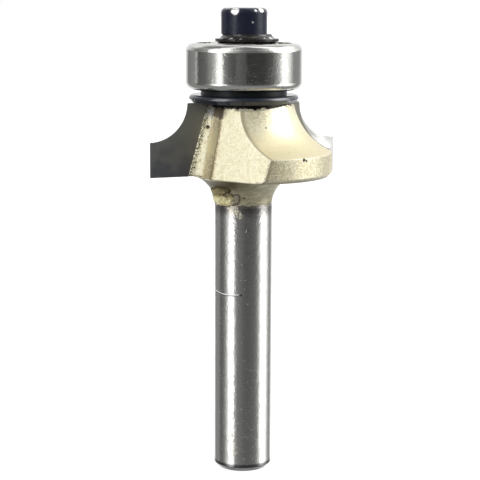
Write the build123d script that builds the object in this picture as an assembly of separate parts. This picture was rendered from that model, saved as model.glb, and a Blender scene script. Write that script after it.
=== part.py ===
from build123d import *
from math import cos, radians, sin, sqrt, tan
import os

# A two-flute carbide-tipped roundover router bit with a guide bearing.
# Millimetres. +Z runs along the axis from the shank end to the bearing, and the
# origin is the centre of the shank's end face. Seen from the bearing the bit
# turns anticlockwise, so each cutting face looks along its flute's +Y.

# ---- shank and neck -------------------------------------------------------
shank_diameter = 6.35
shank_length = 29.8
shank_chamfer = 0.5
neck_diameter = 6.24
neck_height = 3.28
neck_waist_rise = 0.12
underside_flare_diameter = 11.6
neck_bulge = 0.68

# ---- cutter head ----------------------------------------------------------
cut_diameter = 21.5
cove_radius = 4.25
cove_centre_rise = 0.11
blade_height = 7.94
body_clearance = 1.07
body_cove_slack = 1.88
band_drop = 1.26
band_chamfer = 0.4

# ---- flutes: each one is milled in two passes -----------------------------
flute_count = 2
flute_floor_drop = 0.15
flute_wall_offset = 3.46
flute_wall_lean = 12.0
flute_wall_width = 3.12
flute_corner_radius = 0.65
heel_azimuth = 32.7
heel_tilt = 12.8

# ---- end relief behind each blade -----------------------------------------
boss_diameter = 10.3
end_relief_depth = 0.6
end_relief_slope = 7.6
end_relief_start = 3.9

# ---- carbide tips ---------------------------------------------------------
tip_thickness = 1.5
tip_inner_offset = 4.15
tip_inner_lean = 16.0
tip_side_relief = 0.55
tip_end_relief = 0.08
tip_heel_margin = 0.02
tip_heel_rise = 0.1
tip_heel_radius = 5.6

# ---- pilot post, washers and screw ----------------------------------------
bearing_bore = 4.7625
post_clearance = 0.015
post_shortfall = 0.35
post_chamfer = 0.25
washer_bore_clearance = 0.08
dust_ring_diameter = 12.0
dust_ring_thickness = 0.86
dust_ring_lower_diameter = 11.2
spacer_diameter = 9.4
spacer_thickness = 0.54
dished_washer_diameter = 6.95
dished_washer_thickness = 0.97
dished_washer_rim = 0.24
dished_washer_foot_diameter = 6.2
dished_washer_seat_diameter = 5.3
dished_washer_bore = 3.7
dished_washer_shift = 0.31
dished_washer_shift_angle = -21.0
screw_diameter = 3.0
screw_length = 10.0
screw_thread_clearance = 0.02
screw_head_diameter = 5.0
screw_head_height = 2.78
screw_head_round = 0.5
screw_socket_across_flats = 2.5
screw_socket_depth = 1.4
tapped_hole_spare = 1.0

# ---- guide bearing --------------------------------------------------------
bearing_diameter = 12.7
bearing_width = 4.978
bearing_corner = 0.85
inner_ring_corner = 0.15
ball_count = 7
ball_diameter = 2.381
ball_clearance = 0.02
race_conformity = 0.52
shoulder_height = 0.6
shield_thickness = 0.2
shield_recess = 0.35
shield_seat_depth = 0.22
shield_seat_clearance = 0.02
shield_inner_gap = 0.17
snap_ring_thickness = 0.15
snap_ring_width = 0.28
snap_ring_bite = 0.1
snap_ring_gap_angle = 24.0
cage_band_width = 0.5
cage_band_thickness = 0.26
cage_parting_gap = 0.02
cage_pocket_clearance = 0.05
cage_pocket_wall = 0.16
cage_shoulder_gap = 0.06

# ---- heights worked out from the sizes above ------------------------------
shank_radius = shank_diameter / 2
head_bottom = shank_length + neck_height
head_top = head_bottom + blade_height
cut_radius = cut_diameter / 2
cove_centre_z = head_top + cove_centre_rise
cove_bottom = cove_centre_z - cove_radius
cove_top_radius = cut_radius - sqrt(cove_radius**2 - cove_centre_rise**2)
band_radius = cut_radius - body_clearance
band_top = cove_bottom - band_drop
body_top_radius = cove_top_radius - body_clearance
body_cove_radius = cove_radius + body_clearance + body_cove_slack
dust_ring_bottom = head_top
spacer_bottom = dust_ring_bottom + dust_ring_thickness
bearing_bottom = spacer_bottom + spacer_thickness
bearing_top = bearing_bottom + bearing_width
bearing_middle = bearing_bottom + bearing_width / 2
washer_top = bearing_top + dished_washer_thickness
screw_top = washer_top + screw_head_height
post_radius = bearing_bore / 2 - post_clearance
post_top = bearing_top - post_shortfall
hole_bottom = washer_top - screw_length - tapped_hole_spare
reach = 2 * cut_radius  # how far a cutting tool runs past the head


def revolved(*edges):
    """Turn a closed outline in the XZ plane about the axis."""
    return revolve(make_face(Wire(list(edges))), Axis.Z)


def turned(*points):
    """Turn a closed outline of straight edges about the axis."""
    return revolve(make_face(Polyline(*[(x, 0, z) for x, z in points], close=True)), Axis.Z)


def tube(outer, inner, low, high):
    """A plain turned ring."""
    return turned((inner, low), (outer, low), (outer, high), (inner, high))


def hollow(low, high, radius):
    """The arc of a hollow profile, bowed in towards the shank."""
    half_chord = (high - low).length / 2
    sagitta = radius - sqrt(radius**2 - half_chord**2)
    along = (high - low).normalized()
    middle = (low + high) * 0.5 + Vector(-along.Z, 0, along.X) * sagitta
    return ThreePointArc(low, middle, high)


def each_flute(solid):
    """The same solid at every flute."""
    return [Rot(0, 0, 360 * i / flute_count) * solid for i in range(flute_count)]


# ---- one-piece steel body -------------------------------------------------
def turned_blank():
    """Shank, neck, head, boss and pilot post, as they leave the lathe."""
    at = lambda x, z: Vector(x, 0, z)
    waist = at(neck_diameter / 2, shank_length + neck_waist_rise)
    flare = at(underside_flare_diameter / 2, head_bottom)
    middle = (waist + flare) * 0.5 + Vector(-1, 0, 1).normalized() * neck_bulge
    cove_low = at(band_radius, band_top)
    cove_high = at(body_top_radius, head_top)
    lower = Polyline(
        at(0, 0),
        at(shank_radius - shank_chamfer, 0),
        at(shank_radius, shank_chamfer),
        at(shank_radius, shank_length),
        at(neck_diameter / 2, shank_length),
        waist,
    )
    band = Polyline(
        flare,
        at(band_radius - band_chamfer, head_bottom),
        at(band_radius, head_bottom + band_chamfer),
        cove_low,
    )
    upper = Polyline(
        cove_high,
        at(post_radius, head_top),
        at(post_radius, post_top - post_chamfer),
        at(post_radius - post_chamfer, post_top),
        at(0, post_top),
        at(0, 0),
    )
    neck = ThreePointArc(waist, middle, flare)
    cove = hollow(cove_low, cove_high, body_cove_radius)
    return revolved(*lower.edges(), neck, *band.edges(), cove, *upper.edges())


def leaning_prism(offset_at_top, lean, near, far):
    """All that lies outside a leaning plane, between two Y values."""
    low, high = head_bottom - blade_height / 2, head_top + blade_height / 2
    at = lambda z: offset_at_top + (head_top - z) * tan(radians(lean))
    outline = Polyline((at(low), 0, low), (reach, 0, low), (reach, 0, high), (at(high), 0, high), close=True)
    face = make_face(outline)
    return Pos(0, near, 0) * extrude(face, far - near, dir=(0, 1, 0))


def flute_pass():
    """First pass of the mill: the floor that the blade stands in, and the wall."""
    near = -flute_floor_drop
    cut = leaning_prism(flute_wall_offset, flute_wall_lean, near, reach)
    corner = cut.edges().filter_by(GeomType.LINE).filter_by(lambda e: abs((e @ 0.5).Y - near) < 1e-6)
    corner = corner.sort_by(lambda e: (e @ 0.5).X)[0]
    return fillet(corner, flute_corner_radius)


def heel_pass():
    """Second pass: the broad flat on the heel of the next blade's backing."""
    azimuth, tilt = radians(heel_azimuth), radians(heel_tilt)
    normal = Vector(cos(tilt) * cos(azimuth), cos(tilt) * sin(azimuth), sin(tilt))
    corner = Vector(flute_wall_offset, flute_wall_width, head_top)
    slab = Plane(origin=corner, z_dir=normal) * Box(
        4 * reach, 4 * reach, reach, align=(Align.CENTER, Align.CENTER, Align.MIN)
    )
    front = Pos(0, 0, head_top - blade_height) * Box(
        4 * reach, 4 * reach, 2 * reach, align=(Align.CENTER, Align.MIN, Align.CENTER)
    )
    above_neck = Pos(0, 0, head_bottom) * Box(
        4 * reach, 4 * reach, 2 * reach, align=(Align.CENTER, Align.CENTER, Align.MIN)
    )
    return slab & front & above_neck


def end_relief():
    """The ramp that falls away behind a blade, round the boss."""
    low = head_top - end_relief_depth
    run = end_relief_depth / tan(radians(end_relief_slope))
    outline = Polyline(
        (-reach, 0, low),
        (end_relief_start - run, 0, low),
        (end_relief_start, 0, head_top),
        (end_relief_start, 0, head_top + 1),
        (-reach, 0, head_top + 1),
        close=True,
    )
    ramp = extrude(make_face(outline), reach, dir=(0, -1, 0))
    return ramp - Pos(0, 0, head_top) * Cylinder(boss_diameter / 2, 4 * end_relief_depth + 4)


def make_body():
    body = turned_blank()
    seat = leaning_prism(tip_inner_offset, tip_inner_lean, -tip_thickness, reach)
    for cut in (seat, flute_pass(), heel_pass(), end_relief()):
        for copy in each_flute(cut):
            body -= copy
    hole = Pos(0, 0, hole_bottom) * Cylinder(
        screw_diameter / 2, screw_top - hole_bottom, align=(Align.CENTER, Align.CENTER, Align.MIN)
    )
    point = Pos(0, 0, hole_bottom) * Rot(180, 0, 0) * Cone(
        screw_diameter / 2, 0, screw_diameter / 4, align=(Align.CENTER, Align.CENTER, Align.MIN)
    )
    return body - hole - point


# ---- carbide tips ---------------------------------------------------------
def tip_outline(depth, corner, start, radius, bottom):
    """A tip's outline at one depth behind its face, round from the start of its hollow."""
    at = lambda x, z: Vector(x, -depth, z)
    inner = lambda z: tip_inner_offset + (head_top - z) * tan(radians(tip_inner_lean))
    top = start[1]
    sides = Polyline(
        at(*start), at(inner(top), top), at(inner(bottom), bottom), at(corner[0], bottom), at(*corner)
    )
    return make_face(Wire([*sides.edges(), hollow(at(*corner), at(*start), radius)]))


def make_tip():
    """The cutting outline in front, relieved until its heel meets the steel behind."""
    start = (cove_top_radius, head_top)
    heel_start = (cove_top_radius - tip_side_relief, head_top - tip_end_relief)
    heel = (band_radius + tip_heel_margin, band_top + tip_heel_rise)
    face = tip_outline(0, (cut_radius, cove_bottom), start, cove_radius, head_bottom)
    back = tip_outline(tip_thickness, heel, heel_start, tip_heel_radius, head_bottom + tip_end_relief)
    return loft([face, back], ruled=True)


# ---- washers and screw ----------------------------------------------------
washer_bore_radius = post_radius + washer_bore_clearance


def make_dust_ring():
    low, high = dust_ring_bottom, dust_ring_bottom + dust_ring_thickness
    outer, lower = dust_ring_diameter / 2, dust_ring_lower_diameter / 2
    round_height = dust_ring_thickness / 2
    top = Vector(outer - round_height, 0, high)
    side = Vector(outer, 0, high - round_height)
    middle = Vector(outer - round_height * (1 - sin(radians(45))), 0, high - round_height * (1 - sin(radians(45))))
    rim = ThreePointArc(side, middle, top)
    rest = Polyline(
        (top.X, 0, high), (washer_bore_radius, 0, high), (washer_bore_radius, 0, low), (lower, 0, low), (outer, 0, side.Z)
    )
    return revolved(rim, *rest.edges())


def make_spacer():
    return tube(spacer_diameter / 2, washer_bore_radius, spacer_bottom, bearing_bottom)


def make_dished_washer():
    outer, foot = dished_washer_diameter / 2, dished_washer_foot_diameter / 2
    seat, bore = dished_washer_seat_diameter / 2, dished_washer_bore / 2
    rim_low = bearing_top + dished_washer_rim
    rim_high = rim_low + dished_washer_rim
    depth = washer_top - rim_high
    bend = Vector(seat + 0.28 * (outer - seat), 0, rim_high + 0.3 * depth)
    flare = ThreePointArc((outer, 0, rim_high), bend, (seat, 0, washer_top))
    rest = Polyline(
        (seat, 0, washer_top),
        (bore, 0, washer_top),
        (bore, 0, bearing_top),
        (foot, 0, bearing_top),
        (outer, 0, rim_low),
        (outer, 0, rim_high),
    )
    aside = radians(dished_washer_shift_angle)
    shift = Pos(dished_washer_shift * cos(aside), dished_washer_shift * sin(aside), 0)
    return shift * revolved(flare, *rest.edges())


def make_cap_screw():
    align = (Align.CENTER, Align.CENTER, Align.MIN)
    head = Pos(0, 0, washer_top) * Cylinder(screw_head_diameter / 2, screw_head_height, align=align)
    head = fillet(head.edges().group_by(Axis.Z)[-1], screw_head_round)
    socket_bottom = screw_top - screw_socket_depth
    socket_radius = screw_socket_across_flats / 2 / cos(radians(30))
    hexagon = Pos(0, 0, socket_bottom) * RegularPolygon(socket_radius, 6)
    head -= extrude(hexagon, screw_socket_depth)
    radius = screw_diameter / 2 - screw_thread_clearance
    end = washer_top - screw_length
    shank = turned((0, end), (radius * 0.75, end), (radius, end + radius * 0.4), (radius, washer_top), (0, washer_top))
    return head + shank


# ---- guide bearing --------------------------------------------------------
ball_radius = ball_diameter / 2
pitch_radius = (bearing_diameter + bearing_bore) / 4
race_radius = race_conformity * ball_diameter
outer_race_depth = pitch_radius + ball_radius + ball_clearance
inner_race_depth = pitch_radius - ball_radius - ball_clearance
outer_shoulder = outer_race_depth - shoulder_height
inner_shoulder = inner_race_depth + shoulder_height
shield_seat_radius = outer_shoulder + shield_seat_depth
shield_radius = shield_seat_radius - shield_seat_clearance
shield_step = shield_recess + shield_thickness
snap_groove_radius = shield_seat_radius + snap_ring_bite


def race_groove(centre):
    """The ring that a ball race is ground out of."""
    profile = Pos(centre, 0, bearing_middle) * Rot(90, 0, 0) * Circle(race_radius)
    return revolve(profile, Axis.Z)


def make_outer_ring():
    ring = tube(bearing_diameter / 2, outer_shoulder, bearing_bottom, bearing_top)
    circles = ring.edges().filter_by(GeomType.CIRCLE)
    rims = circles.filter_by(lambda e: abs(e.radius - bearing_diameter / 2) < 1e-6)
    ring = fillet(rims, bearing_corner)
    ring -= race_groove(outer_race_depth - race_radius)
    for face, inward in ((bearing_top, -1), (bearing_bottom, 1)):
        seat = sorted((face, face + inward * shield_step))
        ring -= tube(shield_seat_radius, outer_shoulder - 1, *seat)
        groove = sorted((face + inward * shield_recess, face + inward * (shield_recess - snap_ring_thickness)))
        ring -= tube(snap_groove_radius, outer_shoulder - 1, *groove)
    return ring


def make_inner_ring():
    ring = tube(inner_shoulder, bearing_bore / 2, bearing_bottom, bearing_top)
    circles = ring.edges().filter_by(GeomType.CIRCLE)
    rims = circles.filter_by(lambda e: abs(e.radius - inner_shoulder) < 1e-6)
    ring = fillet(rims, inner_ring_corner)
    return ring - race_groove(inner_race_depth + race_radius)


def make_shield(face, inward):
    low, high = sorted((face + inward * shield_recess, face + inward * shield_step))
    return tube(shield_radius, inner_shoulder + shield_inner_gap, low, high)


def make_snap_ring(face, inward):
    """A split spring ring that holds a shield in."""
    low, high = sorted((face + inward * shield_recess, face + inward * (shield_recess - snap_ring_thickness)))
    outer = snap_groove_radius - shield_seat_clearance
    ring = tube(outer, outer - snap_ring_width, low, high)
    half_gap = outer * tan(radians(snap_ring_gap_angle / 2))
    gap = Pos(outer, 0, (low + high) / 2) * Box(outer, 2 * half_gap, 4 * snap_ring_thickness)
    return ring - gap


def make_cage_half(side):
    """A pressed half cage: a flat band with a cup over each ball."""
    inner, outer = pitch_radius - cage_band_width / 2, pitch_radius + cage_band_width / 2
    pocket = ball_radius + cage_pocket_clearance
    cup = pocket + cage_pocket_wall
    half = tube(outer, inner, cage_parting_gap, cage_parting_gap + cage_band_thickness)
    walls = tube(outer_shoulder - cage_shoulder_gap, inner_shoulder + cage_shoulder_gap, cage_parting_gap, cup + 1)
    for i in range(ball_count):
        half += Rot(0, 0, 360 * i / ball_count) * Pos(pitch_radius, 0, 0) * Sphere(cup) & walls
    for i in range(ball_count):
        half -= Rot(0, 0, 360 * i / ball_count) * Pos(pitch_radius, 0, 0) * Sphere(pocket)
    if side < 0:
        half = mirror(half, Plane.XY)
    return Pos(0, 0, bearing_middle) * half


def make_ball(i):
    return Rot(0, 0, 360 * i / ball_count) * Pos(pitch_radius, 0, bearing_middle) * Sphere(ball_radius)


# ---- the pieces -----------------------------------------------------------
parts = {
    "body": make_body(),
    "dust_ring": make_dust_ring(),
    "spacer": make_spacer(),
    "outer_ring": make_outer_ring(),
    "inner_ring": make_inner_ring(),
    "shield_upper": make_shield(bearing_top, -1),
    "shield_lower": make_shield(bearing_bottom, 1),
    "snap_ring_upper": make_snap_ring(bearing_top, -1),
    "snap_ring_lower": make_snap_ring(bearing_bottom, 1),
    "cage_upper": make_cage_half(1),
    "cage_lower": make_cage_half(-1),
    "dished_washer": make_dished_washer(),
    "cap_screw": make_cap_screw(),
}
for i, tip in enumerate(each_flute(make_tip())):
    parts[f"carbide_tip_{i + 1}"] = tip
for i in range(ball_count):
    parts[f"ball_{i + 1}"] = make_ball(i)

os.makedirs("parts", exist_ok=True)
for name, solid in parts.items():
    export_step(solid, f"parts/{name}.step")
    print(name, round(solid.volume, 2))
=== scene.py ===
# %% [markdown]
# # A roundover router bit with a guide bearing
#
# The construction comes in finished, as one fixed frame of metal pieces that already fit. What is
# left for this notebook is how they look: lacquer, braze, ground carbide, black oxide and bearing
# steel, and the few lumps of braze and lacquer that no drawing has. Nothing here moves or changes
# a piece of the frame. It is read first, so that every place below can be worked out from it.

# %% Load the frame
import math

import bmesh
import bpy
from mathutils import Matrix, Vector, noise


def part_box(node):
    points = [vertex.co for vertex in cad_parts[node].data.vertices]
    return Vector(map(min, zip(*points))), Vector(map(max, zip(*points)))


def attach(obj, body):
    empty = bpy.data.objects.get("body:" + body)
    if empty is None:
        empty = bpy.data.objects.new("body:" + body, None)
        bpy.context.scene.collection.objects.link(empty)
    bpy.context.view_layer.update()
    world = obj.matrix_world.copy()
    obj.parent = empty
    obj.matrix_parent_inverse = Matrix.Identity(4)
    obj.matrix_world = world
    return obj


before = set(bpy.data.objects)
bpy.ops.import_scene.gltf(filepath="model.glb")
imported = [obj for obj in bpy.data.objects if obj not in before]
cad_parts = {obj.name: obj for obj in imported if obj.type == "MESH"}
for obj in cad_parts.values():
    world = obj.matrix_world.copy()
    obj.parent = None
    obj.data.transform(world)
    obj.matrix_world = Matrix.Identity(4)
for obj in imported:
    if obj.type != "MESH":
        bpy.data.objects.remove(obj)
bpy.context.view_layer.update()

MM = 0.001
print("pieces in the frame:", len(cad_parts))

# %% [markdown]
# ## The few sizes that the finishes need
#
# A finish often starts or stops at a real edge, such as the top of the cutter head. Those heights
# are read off the boxes of the pieces, so that they follow the frame if a size changes. The
# blades lie along X, and the camera stands 21 degrees round from square on to them.

# %% Heights and directions
body_low, body_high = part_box("body")
tip_low, tip_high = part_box("carbide_tip_1")
ring_low, ring_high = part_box("dust_ring")
HEAD_TOP = tip_high.z
HEAD_BOTTOM = tip_low.z
NECK_HEIGHT = 3.28 * MM
SHANK_TOP = HEAD_BOTTOM - NECK_HEIGHT
CAMERA_TURN = math.radians(-21.1)


def in_mm(low, high):
    """A span of heights, ready to print."""
    return f"from {low / MM:.2f} to {high / MM:.2f} mm"


print("body", in_mm(body_low.z, body_high.z))
print("head", in_mm(HEAD_BOTTOM, HEAD_TOP))
print("ring on the head", in_mm(ring_low.z, ring_high.z))

# %% [markdown]
# ## Small helpers for node trees
#
# A material here is a tree of small steps, and most steps are one line of arithmetic. A helper
# that adds a node, and links whatever is handed to it, keeps each finish readable. A socket is
# linked and a plain number is written into the input.

# %% Node helpers
def fill(tree, node, inputs):
    """Link or fill the inputs of a node."""
    for key, value in inputs.items():
        socket = node.inputs[key]
        if isinstance(value, bpy.types.NodeSocket):
            tree.links.new(value, socket)
        else:
            socket.default_value = value


def add(tree, kind, inputs=None, **settings):
    """Add a node, set its properties, and link or fill its inputs."""
    node = tree.nodes.new(kind)
    for name, value in settings.items():
        setattr(node, name, value)
    fill(tree, node, inputs or {})
    return node


def calc(tree, operation, *values):
    """One step of arithmetic."""
    return add(tree, "ShaderNodeMath", dict(enumerate(values)), operation=operation).outputs[0]


def times(tree, product, *values):
    """Several values multiplied together."""
    for value in values:
        product = calc(tree, "MULTIPLY", product, value)
    return product


def times_plus(tree, value, factor, more):
    """A value times a factor, plus something more."""
    return calc(tree, "MULTIPLY_ADD", value, factor, more)


def step(tree, value, low, high):
    """A soft step from 0 at low to 1 at high."""
    inputs = {"Value": value, "From Min": low, "From Max": high}
    return add(tree, "ShaderNodeMapRange", inputs, interpolation_type="SMOOTHSTEP").outputs[0]


def spread(tree, value, low, high):
    """Stretch a value that runs from 0 to 1 so that it runs from low to high."""
    inputs = {"Value": value, "To Min": low, "To Max": high}
    return add(tree, "ShaderNodeMapRange", inputs).outputs[0]


def mix(tree, amount, first, second):
    """Mix two numbers."""
    return add(tree, "ShaderNodeMix", {0: amount, 2: first, 3: second}).outputs[0]


def blend(tree, amount, first, second):
    """Mix two colours."""
    node = add(tree, "ShaderNodeMix", {0: amount, 6: first, 7: second}, data_type="RGBA")
    return node.outputs[2]


def grain(tree, place, scale, detail=2.0, roughness=0.5):
    """Soft noise from 0 to 1. The scale is in lumps for each millimetre."""
    inputs = {"Vector": place, "Scale": scale, "Detail": detail, "Roughness": roughness}
    return add(tree, "ShaderNodeTexNoise", inputs).outputs[0]


def stretch(tree, place, x, y, z):
    """Squeeze a pattern along each axis."""
    return add(tree, "ShaderNodeMapping", {"Vector": place, "Scale": (x, y, z)}).outputs[0]


def bump(tree, height, depth, normal=None):
    """Raise the surface by a height from 0 to 1 times a depth in millimetres."""
    inputs = {"Height": height, "Strength": 1.0, "Distance": depth * MM}
    if normal is not None:
        inputs["Normal"] = normal
    return add(tree, "ShaderNodeBump", inputs).outputs[0]


def grey(level):
    """A colour without a tint."""
    return (level, level, level, 1.0)


print("helpers are ready")

# %% [markdown]
# ## Places in millimetres
#
# Every finish on this tool is laid out round its axis, because it was turned and ground that way.
# From the object's own coordinates come the place in millimetres, the distance from the axis and
# the height. At the end of a finish, four results go into the shader.

# %% A new material with its coordinates
def new_finish(name):
    """An empty material: its tree, its shader, and the place, radius and height in millimetres."""
    material = bpy.data.materials.new(name)
    material.use_nodes = True
    tree = material.node_tree
    shader = tree.nodes["Principled BSDF"]
    origin = add(tree, "ShaderNodeTexCoord").outputs["Object"]
    inputs = {0: origin, "Scale": 1 / MM}
    place = add(tree, "ShaderNodeVectorMath", inputs, operation="SCALE").outputs[0]
    x, y, z = add(tree, "ShaderNodeSeparateXYZ", {0: place}).outputs
    flat = add(tree, "ShaderNodeCombineXYZ", {0: x, 1: y}).outputs[0]
    radius = add(tree, "ShaderNodeVectorMath", {0: flat}, operation="LENGTH").outputs["Value"]
    return material, tree, shader, place, (x, y, z), radius


def wire(tree, shader, colour, metal, rough, normal):
    """Put the results of a finish into its shader."""
    results = {"Base Color": colour, "Metallic": metal, "Roughness": rough, "Normal": normal}
    fill(tree, shader, results)


def dress(material, *names):
    """Give a material to pieces of the frame."""
    for name in names:
        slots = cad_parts[name].data.materials
        slots.clear()
        slots.append(material)
    print(material.name, "on", ", ".join(names))


print("coordinates are ready, in millimetres")

# %% [markdown]
# ## Marks that are laid on by place
#
# Real wear is not spread evenly. A pit, a smear of soot or a drip sits at one spot, so it needs a
# mask at one place. The distance to a point, with a little noise added, gives a ragged round spot.
# Masks are multiplied where both must be on, and the strongest is taken where either will do.

# %% Masks
def spot(tree, place, centre, size, rag=0.0, softness=0.5):
    """A round mark at one point, from 1 inside to 0 outside."""
    inputs = {0: place, 1: centre}
    away = add(tree, "ShaderNodeVectorMath", inputs, operation="DISTANCE").outputs["Value"]
    if rag:
        ragged = grain(tree, place, 4.0 / size ** 0.5, 3.0, 0.6)
        away = calc(tree, "SUBTRACT", times_plus(tree, ragged, rag, away), rag / 2)
    return step(tree, away, size, size * (1 - softness))


def any_of(tree, *masks):
    """The strongest of several masks."""
    result = masks[0]
    for mask in masks[1:]:
        result = calc(tree, "MAXIMUM", result, mask)
    return result


def none_of(tree, mask):
    """Everywhere that a mask is not."""
    return calc(tree, "SUBTRACT", 1.0, mask)


def coat(tree, under, over, *masks):
    """Lay a colour over another where every mask is on. A plain number makes the coat thinner."""
    return blend(tree, times(tree, *masks), under, over)


def specks(tree, place, scale, size, share):
    """Small dots: a share of the cells of a Voronoi pattern hold one."""
    inputs = {"Vector": place, "Scale": scale}
    cells = add(tree, "ShaderNodeTexVoronoi", inputs).outputs
    chosen = add(tree, "ShaderNodeSeparateColor", {0: cells["Color"]}).outputs[0]
    dots = step(tree, cells["Distance"], size, size * 0.4)
    return times(tree, dots, calc(tree, "LESS_THAN", chosen, share))


def dimples(tree, place, scale, low, high):
    """Tiny dimples side by side, in clusters, that break up a reflection with crisp edges."""
    inputs = {"Vector": place, "Scale": scale}
    cells = add(tree, "ShaderNodeTexVoronoi", inputs).outputs["Distance"]
    return times(tree, cells, step(tree, grain(tree, place, 0.9, 3.0, 0.6), low, high))


def rounded_edge(tree, radius):
    """A normal that is rounded over the edges, and how near an edge is, from 0 to 1."""
    soft = add(tree, "ShaderNodeBevel", {"Radius": radius * MM}, samples=6).outputs[0]
    flat = add(tree, "ShaderNodeNewGeometry").outputs["Normal"]
    alike = add(tree, "ShaderNodeVectorMath", {0: soft, 1: flat}, operation="DOT_PRODUCT")
    return soft, step(tree, alike.outputs["Value"], 0.995, 0.90)


print("masks are ready")

# %% [markdown]
# ## The body: lacquered head, bare ground shank
#
# The body is one piece of steel. After brazing, the head is sprayed with a pale gold lacquer that
# fills the pits, and the shank is ground bare. One material covers both, split by height, because
# the real boundary is a line on one surface and not a joint. The lacquer is warm where it is thick
# and greyer where it is thin, so its colour is built up from noise of several sizes: clouds, a
# mottle, patches, thin places and a few dark dashes. Along the edges it is painted paler, for thick
# lacquer there and for a painted highlight.

# %% Lacquer
PALE_GOLD = (0.95, 0.905, 0.67, 1)
DEEP_GOLD = (0.78, 0.71, 0.47, 1)
GREY_GOLD = (0.54, 0.50, 0.31, 1)
TAN_PATCH = (0.70, 0.61, 0.35, 1)
CREAM_PATCH = (0.96, 0.92, 0.72, 1)
DARK_DASH = (0.33, 0.27, 0.13, 1)
BAND_BROWN = (0.50, 0.41, 0.23, 1)
PALE_EDGE_AND_HIGHLIGHT = (0.97, 0.95, 0.84, 1)
BAND_RADIUS = 9.5


def lacquer_colour(tree, place, radius, edge):
    """The lacquer before the torch, and the two noises that the other marks share."""
    clouds = grain(tree, place, 0.45, 2.0)
    mottle = grain(tree, place, 2.2, 4.0, 0.62)
    flecks = grain(tree, place, 6.0, 3.0, 0.6)
    patches = grain(tree, place, 1.3, 4.0, 0.7)
    dashes = stretch(tree, place, 1.0, 1.0, 1.7)
    thin = step(tree, times_plus(tree, mottle, 0.4, flecks), 0.72, 0.82)
    large_dots = specks(tree, dashes, 2.6, 0.24, 0.20)
    small_dots = specks(tree, dashes, 1.6, 0.13, 0.26)
    band = step(tree, radius, BAND_RADIUS, BAND_RADIUS + 0.1)
    colour = blend(tree, step(tree, mottle, 0.32, 0.56), DEEP_GOLD, PALE_GOLD)
    colour = blend(tree, spread(tree, clouds, 0.0, 0.25), colour, DEEP_GOLD)
    colour = coat(tree, colour, GREY_GOLD, thin, 0.38)
    colour = coat(tree, colour, TAN_PATCH, step(tree, patches, 0.50, 0.62), 0.28)
    colour = coat(tree, colour, CREAM_PATCH, step(tree, patches, 0.50, 0.40), 0.3)
    colour = coat(tree, colour, DARK_DASH, any_of(tree, large_dots, small_dots), 0.6)
    colour = coat(tree, colour, BAND_BROWN, band, step(tree, flecks, 0.44, 0.58), 0.55)
    # Paler along the edges: thick lacquer, and a painted highlight on the rounded edge.
    return coat(tree, colour, PALE_EDGE_AND_HIGHLIGHT, edge, 0.9), mottle, flecks


print("lacquer mixed")

# %% [markdown]
# ## What the torch left in the flutes, and painted shade
#
# The torch that melts the braze leaves brown dirt on a flute's wall and beside the slanted facet,
# and soot above them. Painted shade is laid there too: at the top of the flute under the ring, in
# the cove's hollow and along the facet's edge. Each of these marks belongs to one plane of the
# milled flute, so the distance to that plane is its mask. The planes are known from the cuts. Both
# blades are made alike, so the far half of the head is turned on to the near half, and one set of
# planes does.

# %% Wall and facet
WALL_LOW_TAN = (0.80, 0.70, 0.45, 1)
WALL_HIGH_TAN = (0.90, 0.80, 0.56, 1)
WALL_CREAM = (1.0, 0.94, 0.70, 1)
WALL_DIRT = (0.34, 0.26, 0.13, 1)
# Dark at the top of the wall, under the ring: scorch, and painted shade.
SCORCH_SHADE_DARK = (0.14, 0.11, 0.08, 1)
SCORCH_SHADE_LIGHT = (0.27, 0.215, 0.15, 1)
# Painted shade in the lower hollow of the cove.
HOLLOW_SHADE_DARK = (0.72, 0.63, 0.37, 1)
HOLLOW_SHADE_LIGHT = (0.80, 0.72, 0.46, 1)
# Dirt on top of the head and on the band, and painted shade along the facet's edge.
DIRT_AND_SHADE = (0.34, 0.26, 0.14, 1)
# Each pair is the height where a mark starts and the height where it is full, in millimetres.
WALL_HIGH_TAN_FROM = (34.0, 36.5)
SCORCH_SHADE_FROM = (40.0, 40.2)
HOLLOW_SHADE_TOP = (39.2, 36.8)
HOLLOW_SHADE_FOOT = (35.5, 35.8)
WALL_OUT = 3.46
WALL_LEAN = math.tan(math.radians(12.0))
WALL_OFFSET = WALL_OUT + HEAD_TOP / MM * WALL_LEAN
FACET_NORMAL = (0.8206, 0.5268, 0.2215)
FACET_CORNER = (WALL_OUT, 3.12, HEAD_TOP / MM)
FACET_OFFSET = sum(n * c for n, c in zip(FACET_NORMAL, FACET_CORNER))


def wall_marks(tree, colour, flank_x, flank_y, z, mottle, flecks, fine):
    """The wall: tan, cream by the braze, dirty by the facet, scorch and painted shade at its top.
    """
    away = calc(tree, "SUBTRACT", times_plus(tree, z, WALL_LEAN, flank_x), WALL_OFFSET)
    wall = step(tree, calc(tree, "ABSOLUTE", away), 0.16, 0.05)
    tone = blend(tree, step(tree, z, *WALL_HIGH_TAN_FROM), WALL_LOW_TAN, WALL_HIGH_TAN)
    tone = blend(tree, step(tree, flank_y, 1.5, 0.4), tone, WALL_CREAM)
    colour = blend(tree, wall, colour, tone)
    streaky = step(tree, times_plus(tree, mottle, 0.8, flecks), 0.80, 0.96)
    near_facet = times(tree, step(tree, flank_y, 1.7, 2.9), step(tree, flecks, 0.40, 0.54))
    dirt = any_of(tree, times(tree, near_facet, 0.9), times(tree, streaky, 0.5))
    colour = coat(tree, colour, WALL_DIRT, wall, dirt)
    # The top of the wall, under the ring, darkened: scorch, and painted shade.
    high = step(tree, times_plus(tree, mottle, 1.2, z), *SCORCH_SHADE_FROM)
    darkened_top = blend(tree, fine, SCORCH_SHADE_DARK, SCORCH_SHADE_LIGHT)
    return coat(tree, colour, darkened_top, wall, high, step(tree, flank_y, 0.3, 0.7))


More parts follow.
